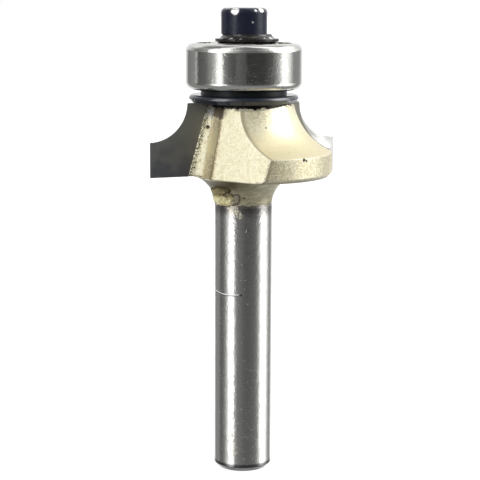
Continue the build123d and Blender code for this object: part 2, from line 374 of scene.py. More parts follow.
def facet_marks(tree, colour, beyond, flank_y, z, radius, fine):
    """Painted shade in the cove's hollow and along the facet, and dirt with it on the band."""
    # Painted shade in the cove's hollow.
    hollow_shade = times(tree, step(tree, z, *HOLLOW_SHADE_TOP), step(tree, z, *HOLLOW_SHADE_FOOT))
    tan = blend(tree, fine, HOLLOW_SHADE_DARK, HOLLOW_SHADE_LIGHT)
    colour = coat(tree, colour, tan, hollow_shade, step(tree, beyond, 0.08, 0.3), 0.85)
    # Painted shade along the facet's edge, and dirt flecks with painted shade on the band next to
    # it.
    ridge_shade = times(tree, step(tree, beyond, 0.05, 0.10), step(tree, beyond, 0.45, 0.12),
                  step(tree, flank_y, 3.0, 3.3), 0.65)
    heel_dirt_and_shade = times(tree, step(tree, beyond, 3.0, 0.1), step(tree, radius, 9.4, 9.6),
                 times_plus(tree, fine, 0.4, 0.1))
    return blend(tree, any_of(tree, ridge_shade, heel_dirt_and_shade), colour, DIRT_AND_SHADE)


print("wall leans", round(math.degrees(math.atan(WALL_LEAN)), 1), "degrees")

# %% [markdown]
# ## The top, the foot and the neck of the head
#
# Grime, and soot with painted shade, lie along the top of the head, painted shade sits just under
# the ring, and a dark line of painted shade runs under its lower edge. The spray hardly reached
# the underside, so the neck is thin and streaky, and it is painted in shade under the head: darker
# still high on the left, and painted lighter on the lit right-hand side, where fine scratches show.
# These marks follow the height, so a soft step in Z is enough, with noise added to the height to
# make the border wander.

# %% Torch marks and painted shade
# Soot, with painted shade, at the top of each flute under the ring.
SOOT_AND_SHADE = (0.05, 0.042, 0.03, 1)
# Painted shade on the top of the head, just under the ring.
RING_SHADE = (0.09, 0.04, 0.02, 1)
LIP_SHADE = (0.12, 0.09, 0.05, 1)
FOOT_SHADE = (0.16, 0.13, 0.05, 1)
# The neck in painted shade under the head, darker still high on the left, lighter on the lit right.
NECK_SHADE_DARK = (0.38, 0.34, 0.21, 1)
NECK_SHADE_LIGHT = (0.56, 0.52, 0.355, 1)
NECK_LIT_PALE = (0.88, 0.84, 0.63, 1)
NECK_TOP_SHADE = (0.13, 0.105, 0.045, 1)
SOOT_AND_SHADE_SPOTS = [((3.6, 3.0, 40.6), 1.4, 0.7), ((3.85, -0.1, 40.6), 1.3, 0.8)]
SOOT_AND_SHADE_SHARE = 0.51
GRIME_FROM = (38.2, 40.4)
RING_SHADE_FROM = (41.22, 41.34)
LIP_SHADE_FROM = (33.38, 33.20)
FOOT_SHADE_FROM = (33.20, 33.13)
NECK_FROM = (33.10, 33.06)
NECK_LIT_PALE_FROM = (30.2, 31.4)
NECK_TOP_SHADE_FROM = (31.7, 32.5)
# The side of the tool that faces the camera, which carries the scratch and the painted light and
# shade on the neck: the way to its right hand, and the way straight out of it.
FRONT_RIGHT = (0.933, -0.36)
FRONT_OUT = (-0.36, -0.933)


def along(tree, x, y, way):
    """How far a place lies from the axis along a level direction."""
    return times_plus(tree, y, way[1], times(tree, x, way[0]))


def top_marks(tree, colour, x, z, radius, flank, mottle, fine):
    """Grime on top, soot with painted shade in each flute, and painted shade just under the ring.
    """
    middle = step(tree, calc(tree, "ABSOLUTE", x), 2.6, 0.4)
    high = step(tree, z, *GRIME_FROM)
    colour = coat(tree, colour, DIRT_AND_SHADE, high, times(tree, fine, 0.42), middle)
    # Soot, with painted shade, at the top of each flute under the ring.
    soot_and_shade = [spot(tree, flank, centre, size, 0.6, soft) for centre, size, soft in SOOT_AND_SHADE_SPOTS]
    colour = coat(tree, colour, SOOT_AND_SHADE, any_of(tree, *soot_and_shade), SOOT_AND_SHADE_SHARE)
    # Painted shade on the lacquer just under the ring.
    ring_shade = step(tree, times_plus(tree, mottle, 0.9, z), *RING_SHADE_FROM)
    return coat(tree, colour, RING_SHADE, ring_shade, step(tree, radius, 5.9, 5.5), 0.9)


def neck_marks(tree, colour, place, x, y, z, radius, mottle):
    """The neck's lacquer in painted shade: deeper high on the left, painted light on the right."""
    under = times(tree, step(tree, z, *NECK_FROM), step(tree, radius, 5.2, 5.0))
    streak = grain(tree, stretch(tree, place, 1.0, 1.0, 4.0), 1.2, 3.0, 0.6)
    # The neck in painted shade under the head, streaky where the lacquer is thin.
    neck = blend(tree, step(tree, streak, 0.35, 0.65), NECK_SHADE_DARK, NECK_SHADE_LIGHT)
    across = along(tree, x, y, FRONT_RIGHT)
    lines = step(tree, grain(tree, stretch(tree, place, 0.8, 0.8, 7.0), 1.3, 2.0), 0.54, 0.62)
    higher = times_plus(tree, step(tree, z, *NECK_LIT_PALE_FROM), 0.75, 0.25)
    # Painted light on the lit right-hand side, streaked by fine scratches.
    neck = coat(tree, neck, NECK_LIT_PALE, step(tree, across, -0.2, 2.2),
                times_plus(tree, lines, 0.55, 0.35), higher)
    # Painted shade high on the left, right under the head.
    darkened_top = step(tree, times_plus(tree, mottle, 0.5, z), *NECK_TOP_SHADE_FROM)
    neck = coat(tree, neck, NECK_TOP_SHADE, darkened_top, step(tree, across, 0.3, -1.6))
    return blend(tree, under, colour, neck)


def torch_and_painted_shade_marks(tree, colour, place, x, y, z, radius, flank, mottle, flecks):
    """Torch marks, spray marks and painted shade and light on the head, in the order laid on."""
    fine = step(tree, flecks, 0.42, 0.58)
    flank_x, flank_y = add(tree, "ShaderNodeSeparateXYZ", {0: flank}).outputs[:2]
    inputs = {0: flank, 1: FACET_NORMAL}
    out = add(tree, "ShaderNodeVectorMath", inputs, operation="DOT_PRODUCT").outputs["Value"]
    beyond = calc(tree, "SUBTRACT", FACET_OFFSET, out)
    colour = wall_marks(tree, colour, flank_x, flank_y, z, mottle, flecks, fine)
    colour = facet_marks(tree, colour, beyond, flank_y, z, radius, fine)
    colour = top_marks(tree, colour, x, z, radius, flank, mottle, fine)
    # Painted shade along the band's lower edge, and at the facet's foot.
    lip = times(tree, step(tree, z, *LIP_SHADE_FROM), step(tree, radius, 8.8, 9.0))
    colour = coat(tree, colour, LIP_SHADE, lip, 0.55)
    foot = times(tree, step(tree, z, *FOOT_SHADE_FROM), step(tree, beyond, 0.2, 0.1))
    colour = coat(tree, colour, FOOT_SHADE, foot, 0.6)
    return neck_marks(tree, colour, place, x, y, z, radius, mottle)


print("torch marks:", len(SOOT_AND_SHADE_SPOTS), "spots of soot in each flute")

# %% [markdown]
# ## Pits, and the scratch round the shank
#
# The lacquer bridges small pits in the cast skin, and a few large ones and a crack on the neck
# stay open. A shank that has been chucked and unchucked carries a fine scratch or two. The long
# one is drawn by how far a place is to the side, and its height follows a half wave. The short
# nick is steep, so it is drawn by the angle round the axis. A groove has a raised burr, painted
# near white as a painted highlight, and painted shade just below it.

# %% Pits and scratch
HEAD_PITS = [((3.27, -9.11, 35.48), 0.26), ((3.62, -8.98, 35.36), 0.14),
             ((0.11, -6.25, 38.70), 0.12), ((-4.12, -0.08, 38.36), 0.30)]
NECK_CRACK = [((-1.86, -2.62, 31.12), 0.10), ((-1.66, -2.78, 31.17), 0.10),
              ((-1.45, -2.93, 31.12), 0.10), ((-1.24, -3.07, 31.02), 0.10),
              ((-1.10, -3.14, 30.86), 0.16)]
LONG_SCRATCH = {"start": -3.17, "end": -0.40, "height": 20.31, "rise": -0.11, "wave": -0.16,
                "width": 0.07}
STEEP_NICK = {"start": 1.28, "end": 1.33, "height": 27.05, "rise": 0.32, "wave": 0.0,
              "width": 0.04}


def pit_mask(tree, place):
    """Large pits at their places, and fine ones all over."""
    pits = [spot(tree, place, centre, size, 0.12, 0.5) for centre, size in HEAD_PITS]
    pits += [spot(tree, place, centre, size, 0.05, 0.6) for centre, size in NECK_CRACK]
    return any_of(tree, *pits, times(tree, specks(tree, place, 1.6, 0.10, 0.10), 0.7))


def scratch(tree, reach, z, start, end, height, rise, wave, width):
    """A wandering line, as two masks: the burr with a painted highlight, and painted shade under
    it.
    """
    share = calc(tree, "DIVIDE", calc(tree, "SUBTRACT", reach, start), end - start)
    bend = times(tree, calc(tree, "SINE", times(tree, share, math.pi)), wave)
    level = calc(tree, "ADD", calc(tree, "ADD", times(tree, share, rise), bend), height)
    off = calc(tree, "SUBTRACT", z, level)
    inside = times(tree, step(tree, share, -0.02, 0.03), step(tree, share, 1.02, 0.9))
    burr_and_glint = step(tree, calc(tree, "ABSOLUTE", off), width, width * 0.35)
    below = calc(tree, "ABSOLUTE", calc(tree, "ADD", off, width * 1.4))
    return times(tree, burr_and_glint, inside), times(tree, step(tree, below, width, width * 0.3), inside)


print("scratch from", LONG_SCRATCH["start"], "to", LONG_SCRATCH["end"], "mm across the shank")

# %% [markdown]
# ## The ground shank, and the whole body
#
# A ground shank is covered in fine lines that run round it. Handling adds dings, painted near white
# as glints, and dark specks, and drops of lacquer a pale crust. Its top is in painted shade under
# the head, and its chamfered foot is painted dark as a painted reflection. The body's material then
# puts bare steel, the blackened boss and the lacquer together. Its roughness and its bump change
# with the same masks as its colour, because a finish is felt as much as seen.

# %% Body material
STEEL_DARK = (0.56, 0.555, 0.535, 1)
STEEL_LIGHT = (0.68, 0.675, 0.65, 1)
SHANK_END_REFLECTION_DARK = (0.15, 0.155, 0.155, 1)
SHANK_TOP_SHADE = (0.20, 0.185, 0.165, 1)
CRUST_CREAM = (0.82, 0.76, 0.60, 1)
BOSS_DARK = (0.022, 0.020, 0.020, 1)
BOSS_LIGHT = (0.065, 0.060, 0.058, 1)
PIT_DARK = (0.05, 0.045, 0.035, 1)
BOSS_RADIUS = 5.24
BOSS_FROM = (41.0, 41.1)
SHANK_TOP_SHADE_FROM = (29.2, 30.4)
SHANK_END_REFLECTION_FROM = (1.0, 0.7)
SCRATCH_END = ((-1.36, -2.87, 20.14), 0.16)
CRUST_SPOTS = [
    ((-2.20, -2.25, 29.85), 0.75, 0.8), ((-1.85, -2.55, 29.40), 0.65, 0.9),
    ((-1.50, -2.78, 28.95), 0.50, 0.8), ((-2.16, -2.33, 4.30), 0.42, 0.7),
    ((-2.05, -2.42, 3.30), 0.36, 0.7), ((-1.95, -2.50, 2.30), 0.42, 0.7),
]


def shank_scratches(tree, x, y, z):
    """The scratch on the marked side, and the steep nick above it."""
    angle = calc(tree, "ARCTAN2", times(tree, y, -1.0), times(tree, x, -1.0))
    front = step(tree, along(tree, x, y, FRONT_OUT), 0.0, 0.1)
    burr_and_glint, shade = scratch(tree, along(tree, x, y, FRONT_RIGHT), z, **LONG_SCRATCH)
    nick, nick_shade = scratch(tree, angle, z, **STEEP_NICK)
    burr_and_glint = any_of(tree, times(tree, burr_and_glint, front), nick)
    return burr_and_glint, any_of(tree, times(tree, shade, front), nick_shade)


def shank_steel(tree, place, z, lines, mottle, flecks, burr_and_glint, shade):
    """The colour of the bare steel, and the places where it isn't metal."""
    dings_and_glints = times(tree, specks(tree, place, 3.0, 0.20, 0.22), 0.6)
    crust = [spot(tree, place, centre, size, rag, 0.6) for centre, size, rag in CRUST_SPOTS]
    crust = times(tree, any_of(tree, *crust), step(tree, flecks, 0.44, 0.52))
    steel = blend(tree, lines, STEEL_DARK, STEEL_LIGHT)
    steel = coat(tree, steel, grey(0.16), specks(tree, place, 1.8, 0.09, 0.2))
    # Painted shade just under each scratch.
    steel = coat(tree, steel, grey(0.10), shade, 0.7)
    # The foot of the shank painted dark: a painted reflection on its chamfer.
    steel = coat(tree, steel, SHANK_END_REFLECTION_DARK, step(tree, z, *SHANK_END_REFLECTION_FROM))
    steel = coat(tree, steel, grey(0.04), spot(tree, place, *SCRATCH_END), 0.8)
    # Dings painted near white, as painted glints.
    steel = coat(tree, steel, grey(0.9), dings_and_glints)
    # The burr painted near white: a painted highlight along the scratch.
    steel = coat(tree, steel, grey(0.95), burr_and_glint)
    # Painted shade at the top of the shank, under the head.
    top_shade = step(tree, times_plus(tree, mottle, 1.6, z), *SHANK_TOP_SHADE_FROM)
    steel = coat(tree, steel, SHANK_TOP_SHADE, top_shade, 0.75)
    return coat(tree, steel, CRUST_CREAM, crust), any_of(tree, burr_and_glint, crust, dings_and_glints)


def body_finish():
    material, tree, shader, place, (x, y, z), radius = new_finish("lacquer_and_ground_steel")
    shank_top = SHANK_TOP / MM
    side = calc(tree, "SIGN", x)
    inputs = {0: times(tree, x, side), 1: times(tree, y, side), 2: z}
    flank = add(tree, "ShaderNodeCombineXYZ", inputs).outputs[0]

    line_rag = times_plus(tree, grain(tree, place, 2.2, 3.0), 0.5, calc(tree, "SUBTRACT", z, 0.45))
    painted = step(tree, line_rag, shank_top - 0.02, shank_top + 0.06)
    top_rag = times_plus(tree, grain(tree, place, 2.0, 3.0, 0.6), 0.9, z)
    boss = times(tree, step(tree, radius, BOSS_RADIUS, BOSS_RADIUS - 0.06),
                 step(tree, top_rag, *BOSS_FROM))
    lacquer = times(tree, painted, none_of(tree, boss))

    soft_normal, edge = rounded_edge(tree, 0.16)
    gold, mottle, flecks = lacquer_colour(tree, place, radius, edge)
    gold = torch_and_painted_shade_marks(tree, gold, place, x, y, z, radius, flank, mottle, flecks)
    pits = times(tree, pit_mask(tree, place), lacquer)
    lines = grain(tree, stretch(tree, place, 0.3, 0.3, 14.0), 1.0, 3.0, 0.7)
    burr_and_glint, shade = shank_scratches(tree, x, y, z)
    steel, not_metal = shank_steel(tree, place, z, lines, mottle, flecks, burr_and_glint, shade)
    black = blend(tree, mottle, BOSS_DARK, BOSS_LIGHT)
    bare = blend(tree, boss, steel, black)
    colour = coat(tree, blend(tree, lacquer, bare, gold), PIT_DARK, pits)

    grit = grain(tree, place, 4.6, 3.0, 0.7)
    metal = times(tree, times_plus(tree, lacquer, -0.55, 1.0), none_of(tree, not_metal))
    ground_rough = times_plus(tree, grit, 0.10, 0.12)
    rough = mix(tree, lacquer, ground_rough, times_plus(tree, flecks, 0.16, 0.28))

    skin = times_plus(tree, flecks, 0.45, times(tree, mottle, 0.55))
    skin = times(tree, times_plus(tree, pits, -1.6, skin), lacquer)
    worn = times_plus(tree, grit, 0.25, dimples(tree, place, 4.2, 0.40, 0.60))
    normal = bump(tree, lines, 0.0005, soft_normal)
    normal = bump(tree, times(tree, worn, none_of(tree, lacquer)), 0.0105, normal)
    normal = bump(tree, burr_and_glint, 0.012, normal)
    normal = bump(tree, skin, 0.045, normal)
    wire(tree, shader, colour, metal, rough, normal)
    return material


dress(body_finish(), "body")

# %% [markdown]
# ## Carbide
#
# The tips are sintered carbide. The cutting face is ground with a coarse wheel and left dull and
# dark, painted darker towards its foot as painted shade and with a painted highlight along its
# edges. The relief behind the edge is ground last, with a fine wheel, so it is bright, and so is
# the heel, though the back is a darker grey higher up. The face is the plane through the axis,
# which makes the two easy to tell apart by their Y.

# %% Carbide
DULL_SHADED_LOW = (0.17, 0.175, 0.19, 1)
DULL_LIT_HIGH = (0.35, 0.355, 0.32, 1)
DULL_CLOUD = (0.34, 0.34, 0.31, 1)
BRIGHT_DARK = (0.74, 0.74, 0.72, 1)
BRIGHT_LIGHT = (0.86, 0.86, 0.84, 1)
BACK_TOP_GREY = (0.36, 0.355, 0.33, 1)
BACK_TOP_FROM = (37.0, 38.2)


def carbide_finish():
    material, tree, shader, place, (x, y, z), radius = new_finish("ground_carbide")
    depth = calc(tree, "ABSOLUTE", y)
    polished = step(tree, depth, 0.02, 0.05)
    lay = grain(tree, stretch(tree, place, 1.2, 1.2, 9.0), 1.0, 3.0, 0.6)
    cloud = grain(tree, place, 0.55, 3.0)
    soft_normal, edge = rounded_edge(tree, 0.03)
    # The face is painted darker towards its foot: painted shade.
    dull = blend(tree, step(tree, z, HEAD_BOTTOM / MM, HEAD_TOP / MM), DULL_SHADED_LOW, DULL_LIT_HIGH)
    dull = coat(tree, dull, DULL_CLOUD, step(tree, cloud, 0.4, 0.65), 0.4)
    # A painted highlight along the edges of the face.
    dull = coat(tree, dull, grey(0.5), edge, 0.5)
    # The back is a darker grey higher up.
    high = step(tree, times_plus(tree, cloud, 1.0, z), *BACK_TOP_FROM)
    back_top = times(tree, high, step(tree, depth, 0.30, 0.55))
    bright = coat(tree, blend(tree, lay, BRIGHT_DARK, BRIGHT_LIGHT), BACK_TOP_GREY, back_top)
    rough = times_plus(tree, lay, 0.1, times_plus(tree, polished, -0.16, 0.36))
    rough = times_plus(tree, back_top, 0.25, rough)
    metal = times_plus(tree, back_top, -0.35, times_plus(tree, polished, -0.25, 0.85))
    colour = blend(tree, polished, dull, bright)
    wire(tree, shader, colour, metal, rough, bump(tree, lay, 0.0012, soft_normal))
    return material


dress(carbide_finish(), "carbide_tip_1", "carbide_tip_2")

# %% [markdown]
# ## Bearing steel
#
# The rings, balls, shields and cage are all bright steel, but each got its own last process. The
# rings are ground, which leaves fine lines round them, and handling adds clusters of dimples that
# break the reflection up. The shields and the cage are pressed from strip, which is duller. A few
# specks of rust sit where fingers have been.

# %% Steel
RUST = (0.16, 0.09, 0.05, 1)


def steel_finish(name, level, roughness, line_depth, rust=0.0):
    material, tree, shader, place, (x, y, z), radius = new_finish(name)
    lines = grain(tree, stretch(tree, place, 0.4, 0.4, 13.0), 1.0, 4.0, 0.7)
    grit = grain(tree, place, 3.6, 3.0, 0.65)
    smears = grain(tree, place, 0.5, 3.0)
    dark = (level * 0.92, level * 0.915, level * 0.88, 1)
    light = (level * 1.06, level * 1.05, level * 1.0, 1)
    colour = blend(tree, smears, dark, light)
    colour = coat(tree, colour, grey(level * 0.6), step(tree, lines, 0.6, 0.75), 0.25)
    if rust:
        touched = step(tree, smears, 0.42, 0.6)
        colour = coat(tree, colour, RUST, specks(tree, place, 1.5, 0.14, rust), touched)
    rough = times_plus(tree, grit, roughness * 0.7, roughness * 0.6)
    handled = times(tree, grit, step(tree, smears, 0.40, 0.62))
    worn = times_plus(tree, handled, 0.6, dimples(tree, place, 4.6, 0.48, 0.62))
    normal = bump(tree, worn, line_depth * 14.0, bump(tree, lines, line_depth))
    wire(tree, shader, colour, 1.0, rough, normal)
    return material


dress(steel_finish("bearing_steel", 0.62, 0.11, 0.0005, 0.25), "outer_ring", "inner_ring")
dress(steel_finish("shield_steel", 0.55, 0.30, 0.0010), "shield_upper", "shield_lower")
dress(steel_finish("spring_wire", 0.42, 0.30, 0.0010), "snap_ring_upper", "snap_ring_lower")
dress(steel_finish("cage_strip", 0.52, 0.32, 0.0015), "cage_upper", "cage_lower")
dress(steel_finish("ball_steel", 0.72, 0.07, 0.00005), *[f"ball_{i}" for i in range(1, 8)])

# %% [markdown]
# ## Black oxide
#
# The screw, the dished washer and the spacer are steel under a thin oiled black skin, and the ring
# on the head is smoother and glossier. The skin is a little blue, and lumpy enough to break up a
# reflection. The screw's rim and the washer have been knocked in a few places, and there the metal
# shows; these knocks are also placed and painted near white as painted highlights. Each part hands
# in its own mask of bare metal and painted highlight, so one function makes all four.

# %% Black
BARE_METAL_AND_GLINT = (0.90, 0.89, 0.87, 1)
SCREW_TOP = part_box("cap_screw")[1].z / MM
WASHER_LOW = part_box("dished_washer")[0].z / MM
SCREW_KNOCKS_AND_GLINTS = [
    ((-1.72, -1.70, SCREW_TOP - 0.24), 0.56), ((1.17, -2.04, SCREW_TOP - 0.10), 0.46),
    ((0.40, -2.31, SCREW_TOP - 0.30), 0.18), ((0.04, -2.48, SCREW_TOP - 1.5), 0.14),
    ((2.2, 0.9, SCREW_TOP - 0.15), 0.35), ((-0.9, 2.2, SCREW_TOP - 0.15), 0.3),
]
WASHER_KNOCKS_AND_GLINTS = [
    ((-2.31, -1.91, WASHER_LOW + 0.55), 0.34), ((-1.45, -2.74, WASHER_LOW + 0.5), 0.16),
    ((1.21, -2.86, WASHER_LOW + 0.5), 0.18), ((2.16, -2.49, WASHER_LOW + 0.55), 0.36),
    ((0.5, 2.9, WASHER_LOW + 0.5), 0.25),
]


def black_finish(name, colour, roughness, lump_depth, bare_and_glint_places, shine=0.35):
    material, tree, shader, place, (x, y, z), radius = new_finish(name)
    lumps = grain(tree, place, 1.3, 2.0)
    speckle = grain(tree, place, 6.0, 3.0, 0.6)
    soft_normal, edge = rounded_edge(tree, 0.05)
    tone = blend(tree, speckle, (*[c * 0.6 for c in colour], 1), (*[c * 1.5 for c in colour], 1))
    dust = times(tree, specks(tree, place, 1.4, 0.07, 0.10), 0.35)
    bare = any_of(tree, *bare_and_glint_places(tree, place, z, radius), dust)
    rough = times_plus(tree, speckle, roughness * 0.6, roughness * 0.7)
    rough = times_plus(tree, bare, -0.1, rough)
    normal = bump(tree, speckle, lump_depth * 0.08, bump(tree, lumps, lump_depth, soft_normal))
    # Bare metal, painted near white where it stands for a highlight.
    wire(tree, shader, coat(tree, tone, BARE_METAL_AND_GLINT, bare), times(tree, bare, 0.5), rough, normal)
    shader.inputs["Specular IOR Level"].default_value = shine
    return material


def screw_knocks_and_glints(tree, place, z, radius):
    """The rounded top edge of the screw's head, where it was knocked, with painted highlights."""
    high = step(tree, z, SCREW_TOP - 0.5, SCREW_TOP - 0.25)
    rim = times(tree, high, step(tree, radius, 2.0, 2.2))
    worn_rim_glint = times(tree, rim, step(tree, grain(tree, place, 2.5, 2.0), 0.62, 0.68))
    return [worn_rim_glint] + [spot(tree, place, at, size, 0.25, 0.35) for at, size in SCREW_KNOCKS_AND_GLINTS]


def washer_knocks_and_glints(tree, place, z, radius):
    """Knocks half way up the washer, with painted highlights."""
    return [spot(tree, place, at, size, 0.2, 0.6) for at, size in WASHER_KNOCKS_AND_GLINTS]


def no_knocks(tree, place, z, radius):
    return []


OILED_SCREW = (0.014, 0.017, 0.034)
OILED_WASHER = (0.020, 0.018, 0.016)
BLACK_SPACER = (0.020, 0.025, 0.026)
BLACK_RING = (0.009, 0.013, 0.024)
dress(black_finish("oiled_black_screw", OILED_SCREW, 0.22, 0.05, screw_knocks_and_glints), "cap_screw")
dress(black_finish("oiled_black_washer", OILED_WASHER, 0.16, 0.08, washer_knocks_and_glints, 0.45),
      "dished_washer")
dress(black_finish("black_spacer", BLACK_SPACER, 0.34, 0.02, no_knocks, 0.25), "spacer")
dress(black_finish("black_ring", BLACK_RING, 0.05, 0.005, no_knocks, 0.9), "dust_ring")

# %% [markdown]
# ## The braze beads
#
# Each tip is held by silver solder, which squeezes out along its inner edge and freezes as a lumpy
# fillet in the corner between the carbide and the wall of the flute. A bead starts as a circle
# that is extruded step by step into a rope. The rope is then laid along the tip's leaning edge,
# flattened, and bent sideways so that it climbs a little way up the wall. Noise pushes its top in
# and out. Half of it is sunk in the steel, and only the rounded top shows.

# %% Braze beads
BEAD_STEPS = 110
BEAD_SIDES = 32
BEAD_HEIGHT = 0.15 * MM
BEAD_WIDTH_LOW = 0.68 * MM
BEAD_WIDTH_HIGH = 0.38 * MM
BEAD_CLIMB = 0.85 * MM
BEAD_FOOT = 0.10 * MM
BEAD_STOP = 0.50 * MM
BEAD_OVERLAP = 0.03 * MM
BEAD_SINK = 0.06 * MM
COARSE_LUMP = 0.42 * MM
FINE_LUMP = 0.16 * MM
TIP_EDGE = 4.15
TIP_LEAN = math.tan(math.radians(16.0))


def tip_edge(height):
    """Where a tip's inner edge is at one height, on the side of the first blade."""
    return TIP_EDGE * MM + (HEAD_TOP - height) * TIP_LEAN


def bead_point(across, proud, share):
    """Where a point of the rope goes: across and proud run from -1 to 1, share from 0 to 1."""
    low, high = HEAD_BOTTOM + BEAD_FOOT, HEAD_TOP - BEAD_STOP
    height = low + (high - low) * share
    width = BEAD_WIDTH_LOW + (BEAD_WIDTH_HIGH - BEAD_WIDTH_LOW) * share
    climb = (1 - across) / 2
    slope = math.atan(BEAD_CLIMB * climb ** 1.2 * 1.1 / BEAD_WIDTH_LOW)
    here = Vector((tip_edge(height) + BEAD_OVERLAP + (across - 1) * width, -BEAD_SINK, height))
    here.y += BEAD_CLIMB * width / BEAD_WIDTH_LOW * climb ** 2.2
    out = Vector((math.sin(slope), math.cos(slope), 0))
    lump = noise.noise(here / COARSE_LUMP) + 0.7 * noise.noise(here / FINE_LUMP)
    taper = min(1.0, 0.3 + 12 * share, 0.3 + 8 * (1 - share))
    return here + out * proud * BEAD_HEIGHT * (1 + 0.5 * lump * (1 - 0.6 * climb)) * taper


def make_bead(name, turn):
    shape = bmesh.new()
    bmesh.ops.create_circle(shape, cap_ends=True, segments=BEAD_SIDES, radius=1.0)
    edges = shape.edges[:]
    for _ in range(BEAD_STEPS):
        made = bmesh.ops.extrude_edge_only(shape, edges=edges)["geom"]
        corners = [g for g in made if isinstance(g, bmesh.types.BMVert)]
        edges = [g for g in made if isinstance(g, bmesh.types.BMEdge)]
        bmesh.ops.translate(shape, verts=corners, vec=(0, 0, 1 / BEAD_STEPS))
    bmesh.ops.contextual_create(shape, geom=edges)
    for corner in shape.verts:
        corner.co = bead_point(*corner.co)
    bmesh.ops.recalc_face_normals(shape, faces=shape.faces)
    spin = Matrix.Rotation(turn, 3, "Z")
    bmesh.ops.rotate(shape, verts=shape.verts, cent=(0, 0, 0), matrix=spin)
    return finish_piece(name, shape)


def finish_piece(name, shape):
    """Turn a bmesh into a smooth object that rides on the tool."""
    mesh = bpy.data.meshes.new(name)
    shape.to_mesh(mesh)
    shape.free()
    for face in mesh.polygons:
        face.use_smooth = True
    piece = bpy.data.objects.new(name, mesh)
    bpy.context.collection.objects.link(piece)
    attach(piece, "tool")
    print(name, "has", len(mesh.polygons), "faces")
    return piece


beads = [make_bead("braze_bead_1", 0.0), make_bead("braze_bead_2", math.pi)]

# %% [markdown]
# ## The finish of the braze
#
# Silver solder is pale gold where the lacquer ran over it, and bare and grey near the top where
# the torch burned the lacquer off. It is rough and pitted, more so close to the carbide, and the
# pits hold black flux.

# %% Braze material
BRAZE_GOLD_DARK = (0.78, 0.70, 0.43, 1)
BRAZE_GOLD_LIGHT = (1.0, 0.95, 0.70, 1)
SILVER_DARK = (0.16, 0.16, 0.15, 1)
SILVER_LIGHT = (0.70, 0.69, 0.66, 1)
FLUX_BLACK = (0.09, 0.08, 0.055, 1)
BARE_SILVER_FROM = (39.8, 40.8)
BEAD_PIT = ((-4.28, -0.34, 38.43), 0.27)


def braze_finish():
    material, tree, shader, place, (x, y, z), radius = new_finish("lacquered_braze")
    lumps = grain(tree, place, 3.0, 4.0, 0.65)
    fine = grain(tree, place, 6.5, 3.0, 0.65)
    bare = step(tree, times_plus(tree, lumps, 1.5, z), *BARE_SILVER_FROM)
    gold = blend(tree, step(tree, lumps, 0.35, 0.52), BRAZE_GOLD_DARK, BRAZE_GOLD_LIGHT)
    silver = blend(tree, step(tree, fine, 0.4, 0.6), SILVER_DARK, SILVER_LIGHT)
    edge = times_plus(tree, z, -TIP_LEAN, TIP_EDGE + HEAD_TOP / MM * TIP_LEAN)
    from_tip = calc(tree, "SUBTRACT", edge, calc(tree, "ABSOLUTE", x))
    pitted = times_plus(tree, step(tree, from_tip, 0.60, 0.30), 0.13, fine)
    pits = any_of(tree, step(tree, pitted, 0.64, 0.68), spot(tree, place, *BEAD_PIT, 0.12))
    clear = none_of(tree, pits)
    colour = coat(tree, blend(tree, bare, gold, silver), FLUX_BLACK, pits)
    height = times_plus(tree, pits, -0.8, calc(tree, "ADD", lumps, times(tree, fine, 0.4)))
    rough = spread(tree, fine, 0.25, 0.45)
    wire(tree, shader, colour, times(tree, clear, 0.2), rough, bump(tree, height, 0.08))
    fill(tree, shader, {"Specular IOR Level": times(tree, clear, 0.6)})
    return material


braze = braze_finish()
for bead in beads:
    bead.data.materials.append(braze)
print("braze on", len(beads), "beads")

# %% [markdown]
# ## The run of flux on the neck
#
# When a tip is brazed, flux and solder run down out of the seat and freeze on the neck, and the
# lacquer goes over them. The run is a thin skin of lumps, so it is a grid that is wrapped round the
# neck by casting rays at it, and raised by the tallest of a few overlapping mounds. Where two
# mounds meet there is a crack. The skin is then extruded inwards, so that it is a closed piece
# with its back buried in the steel. Each corner keeps its height as an attribute for the finish.

# %% Flux run
MOUNDS = [
    # angle round the axis, height, half width in degrees, half height, thickness (mm)
    (196.0, 30.38, 17.0, 0.56, 0.30), (217.0, 30.27, 13.0, 0.42, 0.26),
    (207.0, 30.75, 12.0, 0.42, 0.26), (190.0, 31.20, 16.0, 0.62, 0.30),
    (207.0, 31.55, 13.0, 0.50, 0.20), (225.0, 30.85, 7.5, 0.52, 0.22),
    (236.5, 30.75, 6.5, 0.62, 0.20), (229.0, 30.32, 8.0, 0.34, 0.18),
    (178.0, 30.55, 12.0, 0.62, 0.22), (219.0, 31.75, 9.0, 0.42, 0.12),
]
RUN_SIDES = (160.0, 246.0)
RUN_ENDS = (29.50, 32.35)
RUN_COLUMNS, RUN_ROWS = 150, 64
RUN_BACK = 0.12
BELOW_STEEL = -0.06
RAY_START = 12


def mound_height(degrees, height):
    """How far the skin stands off the steel, in millimetres: below zero outside every mound."""
    lump = noise.noise(Vector((degrees / 5.0, height * 2.2, 3.1)))
    fine = noise.noise(Vector((degrees / 2.0, height * 6.0, 7.7)))
    tallest = BELOW_STEEL
    for middle, level, wide, tall, thick in MOUNDS:
        away = math.hypot((degrees - middle) / wide, (height - level) / tall)
        away += 0.25 * lump + 0.08 * fine
        if away < 1:
            tallest = max(tallest, thick * math.sqrt(1 - away * away) * (1 + 0.35 * fine))
    return tallest


def neck_point(degrees, height, off):
    """A point this far off the neck, in millimetres."""
    out = Vector((math.cos(math.radians(degrees)), math.sin(math.radians(degrees)), 0))
    start = out * RAY_START * MM + Vector((0, 0, height * MM))
    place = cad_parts["body"].ray_cast(start, -out)[1]
    return place + out * off * MM


